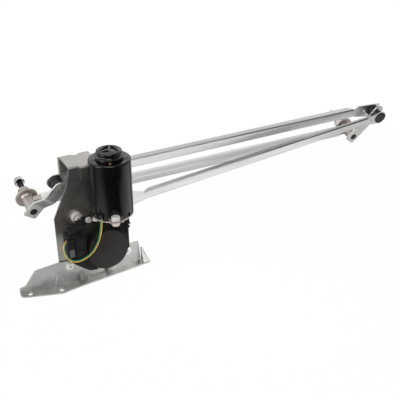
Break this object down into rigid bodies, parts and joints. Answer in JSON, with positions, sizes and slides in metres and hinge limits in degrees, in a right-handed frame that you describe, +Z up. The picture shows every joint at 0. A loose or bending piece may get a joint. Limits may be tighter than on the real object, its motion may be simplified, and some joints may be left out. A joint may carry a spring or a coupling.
{
  "type": "wiper linkage",
  "caption": "Twin-pivot windscreen wiper linkage with a cross tube, pressed motor bracket, geared motor, crank, drive rod and coupling rod.",
  "frame": {"origin": "centre of the left panel seat on the left spindle's axis, at the flange's outer face", "axes": "+X along the cross tube from the left pivot to the right pivot, +Z up, +Y from the motor towards the panel"},
  "size_m": [0.8788, 0.2328, 0.2785],
  "materials": {
    "satin_zinc": "zinc plated pressed steel, satin",
    "bright_zinc": "bright zinc plate",
    "cast_zinc": "die cast, dull",
    "cast_aluminium": "die cast, dull",
    "black_paint": "gloss black",
    "black_steel": "blackened steel",
    "black_plastic": "moulded, fine grain",
    "grey_plastic": "moulded",
    "white_plastic": "moulded gear plastic",
    "black_rubber": "moulded rubber",
    "green_insulation": "wire insulation",
    "yellow_insulation": "wire insulation",
    "bronze": "sintered bronze",
    "copper": "turned copper",
    "chrome": "polished",
    "ferrite": "sintered ferrite and carbon"
  },
  "bodies": {
    "frame": {"frame_tube": "satin_zinc", "left_housing": "cast_zinc", "right_housing": "cast_zinc", "left_spindle_bushes": "bronze", "right_spindle_bushes": "bronze", "panel_washers": "bright_zinc", "panel_nuts": "bright_zinc", "main_bracket": "satin_zinc", "foot_plate": "satin_zinc", "foot_bolts": "bright_zinc", "foot_nuts": "bright_zinc", "motor_can": "black_paint", "motor_cap": "black_rubber", "motor_bearing": "bronze", "field_magnets": "ferrite", "brush_plate": "black_plastic", "brushes": "ferrite", "motor_bolts": "bright_zinc", "cover_screw": "bright_zinc", "mount_bolts": "bright_zinc", "gearbox_housing": "cast_aluminium", "gearbox_cover": "black_plastic", "output_bush": "bronze", "connector_block": "black_plastic", "connector_latch": "grey_plastic", "wire_grommet": "black_rubber", "green_wire": "green_insulation", "yellow_wire": "yellow_insulation"},
    "crank": {"output_shaft": "bright_zinc", "worm_wheel": "white_plastic", "crank_arm": "satin_zinc", "crank_nut": "bright_zinc", "crank_pin": "bright_zinc"},
    "armature": {"armature_shaft": "bright_zinc", "armature_core": "satin_zinc", "commutator": "copper"},
    "right_wiper": {"right_spindle": "black_steel", "right_lever": "bright_zinc", "right_ball_stud": "bright_zinc", "right_arm_nut": "chrome", "right_circlip": "black_steel", "right_thrust_washer": "black_steel"},
    "left_wiper": {"left_spindle": "black_steel", "left_lever": "bright_zinc", "left_ball_stud": "bright_zinc", "left_arm_nut": "chrome", "left_circlip": "black_steel", "left_thrust_washer": "black_steel"},
    "coupling": {"coupling_rod": "satin_zinc", "coupling_left_socket": "black_plastic", "coupling_right_socket": "black_plastic"},
    "drive": {"drive_rod": "satin_zinc", "drive_left_socket": "black_plastic", "drive_right_socket": "black_plastic"}
  },
  "joints": [
    {"name": "crank_spin", "type": "hinge", "parent": "frame", "child": "crank", "pos_m": [0.101, -0.085, -0.063], "axis": [0, 1, 0], "continuous": true},
    {"name": "armature_spin", "type": "hinge", "parent": "frame", "child": "armature", "pos_m": [0.126, -0.1245, 0], "axis": [0, 0, 1], "continuous": true},
    {"name": "right_wiper_swing", "type": "hinge", "parent": "frame", "child": "right_wiper", "pos_m": [0.76, 0, 0], "axis": [0, -0.9537, -0.3007], "range_deg": [-4, 77]},
    {"name": "left_wiper_swing", "type": "hinge", "parent": "frame", "child": "left_wiper", "pos_m": [0, 0, 0], "axis": [0, -0.9537, -0.3007], "range_deg": [-4, 77]},
    {"name": "coupling_turn", "type": "hinge", "parent": "right_wiper", "child": "coupling", "pos_m": [0.80381, -0.04829, 0.04507], "axis": [0, -0.9537, -0.3007], "range_deg": [-77, 4]},
    {"name": "drive_turn", "type": "hinge", "parent": "right_wiper", "child": "drive", "pos_m": [0.80381, -0.06613, 0.03945], "axis": [0, -0.9537, -0.3007], "range_deg": [-77, 4]}
  ],
  "couplings": [
    {"joint": "armature_spin", "follows": "crank_spin", "ratio": 36},
    {"joint": "left_wiper_swing", "follows": "right_wiper_swing", "ratio": 1},
    {"joint": "coupling_turn", "follows": "right_wiper_swing", "ratio": -1},
    {"joint": "drive_turn", "follows": "right_wiper_swing", "ratio": -1}
  ]
}
